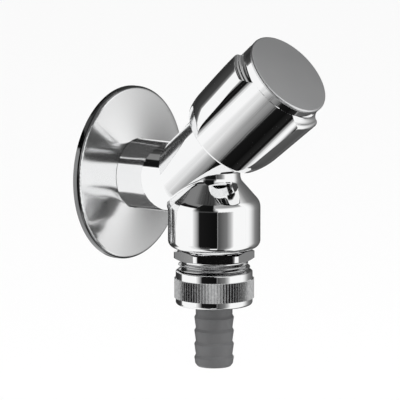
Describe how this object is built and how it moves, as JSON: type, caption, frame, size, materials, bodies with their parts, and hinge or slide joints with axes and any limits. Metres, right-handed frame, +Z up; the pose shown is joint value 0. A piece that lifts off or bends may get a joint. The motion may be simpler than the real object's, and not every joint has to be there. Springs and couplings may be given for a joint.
{
  "type": "angle valve",
  "caption": "Chrome wall-mounted angle valve with round rosette, inclined winged handle, bell-shaped outlet chamber, knurled union nut and barbed hose tail.",
  "frame": {"origin": "inlet axis at the wall plane, the back of the rosette", "axes": "+Y into the wall along the inlet axis, +Z up, the valve stands out along -Y"},
  "size_m": [0.0646, 0.0958, 0.1233],
  "materials": {
    "chrome": "polished",
    "satin_chrome": "satin",
    "brass": "machined",
    "steel": "bright",
    "rubber": "matt",
    "grey_plastic": "moulded",
    "white_plastic": "moulded",
    "blue_plastic": "moulded"
  },
  "bodies": {
    "fixed_valve": {"valve_body": "chrome", "inlet_seal_ring": "rubber", "headwork_housing": "brass", "headwork_gasket": "rubber", "outlet_nipple": "chrome", "vent_diaphragm": "rubber", "check_valve_housing": "white_plastic", "check_valve_seal": "rubber", "check_valve_spring": "steel"},
    "rosette": {"wall_rosette": "chrome"},
    "turning_handle": {"handle": "chrome", "handle_cap": "satin_chrome", "handle_screw": "steel", "spindle": "brass", "spindle_seal_lower": "rubber", "spindle_seal_upper": "rubber", "spindle_circlip": "steel"},
    "lifting_piston": {"valve_piston": "brass", "seat_washer": "rubber", "washer_screw": "steel"},
    "non_return_poppet": {"check_valve_poppet": "blue_plastic"},
    "hose_connection": {"hose_tail": "grey_plastic", "hose_gasket": "rubber"},
    "knurled_nut": {"union_nut": "chrome"}
  },
  "joints": [
    {"name": "rosette_slide", "type": "slide", "parent": "fixed_valve", "child": "rosette", "axis": [0, -1, 0], "range_m": [0, 0.015]},
    {"name": "handle_turn", "type": "hinge", "parent": "fixed_valve", "child": "turning_handle", "pos_m": [0, -0.0261, 0], "axis": [0, -0.749, 0.6626], "range_deg": [0, 900]},
    {"name": "piston_lift", "type": "slide", "parent": "fixed_valve", "child": "lifting_piston", "axis": [0, -0.749, 0.6626], "range_m": [0, 0.005]},
    {"name": "non_return_lift", "type": "slide", "parent": "fixed_valve", "child": "non_return_poppet", "axis": [0, 0, -1], "range_m": [0, 0.003], "stiffness_N_per_m": 100, "springref_m": -0.002, "deforming": ["check_valve_spring"]},
    {"name": "union_release", "type": "slide", "parent": "fixed_valve", "child": "hose_connection", "axis": [0, 0, -1], "range_m": [0, 0.00726]},
    {"name": "nut_turn", "type": "hinge", "parent": "hose_connection", "child": "knurled_nut", "pos_m": [0, -0.0404, 0], "axis": [0, 0, -1], "range_deg": [0, 1440]}
  ],
  "couplings": [
    {"joint": "piston_lift", "follows": "handle_turn", "m_per_rad": 0.0003183},
    {"joint": "union_release", "follows": "nut_turn", "m_per_rad": 0.00028871}
  ]
}
